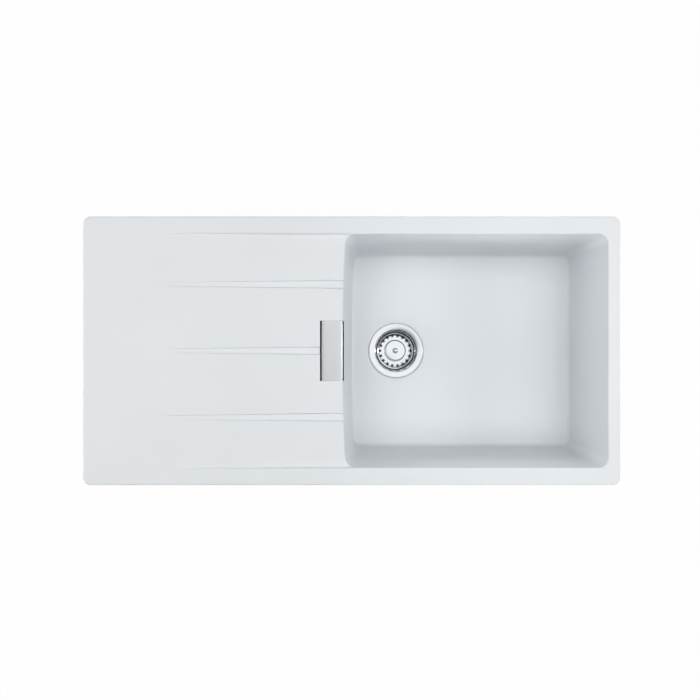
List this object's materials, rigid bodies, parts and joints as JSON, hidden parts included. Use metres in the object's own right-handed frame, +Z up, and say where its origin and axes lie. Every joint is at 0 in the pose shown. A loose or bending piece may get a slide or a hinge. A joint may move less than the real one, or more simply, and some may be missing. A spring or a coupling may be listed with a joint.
{
  "type": "inset kitchen sink",
  "caption": "Inset composite kitchen sink with a grooved drainer, a deep bowl, a basket strainer waste, a covered overflow and swing-out rim clamps.",
  "frame": {"origin": "centre of the rim's underside, on the worktop surface", "axes": "+X from the drainer to the bowl, +Y to the back, +Z up out of the bowl"},
  "size_m": [1, 0.5, 0.3068],
  "materials": {
    "quartz_composite": "satin",
    "brushed_steel": "satin",
    "polished_steel": "gloss",
    "zinc_steel": "satin",
    "plain_steel": "satin",
    "brass": "satin",
    "black_rubber": "matte",
    "sealing_foam": "matte",
    "white_plastic": "satin",
    "grey_plastic": "satin"
  },
  "bodies": {
    "basin": {"sink_basin": "quartz_composite", "rim_seal": "sealing_foam", "overflow_gasket": "black_rubber", "overflow_body": "white_plastic", "overflow_screws": "plain_steel", "overflow_pipe": "white_plastic", "upper_joint_seal": "black_rubber", "upper_joint_nut": "grey_plastic", "lower_joint_seal": "black_rubber", "lower_joint_nut": "grey_plastic", "strainer_cup": "polished_steel", "flange_gasket": "black_rubber", "body_gasket": "black_rubber", "waste_body": "white_plastic", "waste_screw": "polished_steel", "screw_insert": "brass", "clamp_screws": "plain_steel", "clamp_plugs": "grey_plastic"},
    "basket": {"strainer_basket": "polished_steel", "stopper_seal": "black_rubber", "stem_clip": "plain_steel", "basket_stem": "polished_steel", "basket_knob": "polished_steel"},
    "cover": {"overflow_cover": "brushed_steel", "cover_legs": "grey_plastic"},
    "clamp_1": {"rim_clamp_1": "zinc_steel"},
    "clamp_2": {"rim_clamp_2": "zinc_steel"},
    "clamp_3": {"rim_clamp_3": "zinc_steel"},
    "clamp_4": {"rim_clamp_4": "zinc_steel"},
    "clamp_5": {"rim_clamp_5": "zinc_steel"},
    "clamp_6": {"rim_clamp_6": "zinc_steel"},
    "clamp_7": {"rim_clamp_7": "zinc_steel"},
    "clamp_8": {"rim_clamp_8": "zinc_steel"}
  },
  "joints": [
    {"name": "basket_lift", "type": "slide", "parent": "basin", "child": "basket", "axis": [0, 0, 1], "range_m": [0, 0.29]},
    {"name": "cover_lift", "type": "slide", "parent": "basin", "child": "cover", "axis": [0, 0, 1], "range_m": [0, 0.04]},
    {"name": "clamp_1_turn", "type": "hinge", "parent": "basin", "child": "clamp_1", "pos_m": [-0.4, 0.2295, -0.05125], "axis": [0, 0, 1], "range_deg": [0, 90]},
    {"name": "clamp_2_turn", "type": "hinge", "parent": "basin", "child": "clamp_2", "pos_m": [-0.13333, 0.2295, -0.05125], "axis": [0, 0, 1], "range_deg": [0, 90]},
    {"name": "clamp_3_turn", "type": "hinge", "parent": "basin", "child": "clamp_3", "pos_m": [0.13333, 0.2295, -0.05125], "axis": [0, 0, 1], "range_deg": [0, 90]},
    {"name": "clamp_4_turn", "type": "hinge", "parent": "basin", "child": "clamp_4", "pos_m": [0.4, 0.2295, -0.05125], "axis": [0, 0, 1], "range_deg": [0, 90]},
    {"name": "clamp_5_turn", "type": "hinge", "parent": "basin", "child": "clamp_5", "pos_m": [-0.4, -0.2295, -0.05125], "axis": [0, 0, -1], "range_deg": [0, 90]},
    {"name": "clamp_6_turn", "type": "hinge", "parent": "basin", "child": "clamp_6", "pos_m": [-0.13333, -0.2295, -0.05125], "axis": [0, 0, -1], "range_deg": [0, 90]},
    {"name": "clamp_7_turn", "type": "hinge", "parent": "basin", "child": "clamp_7", "pos_m": [0.13333, -0.2295, -0.05125], "axis": [0, 0, -1], "range_deg": [0, 90]},
    {"name": "clamp_8_turn", "type": "hinge", "parent": "basin", "child": "clamp_8", "pos_m": [0.4, -0.2295, -0.05125], "axis": [0, 0, -1], "range_deg": [0, 90]}
  ]
}
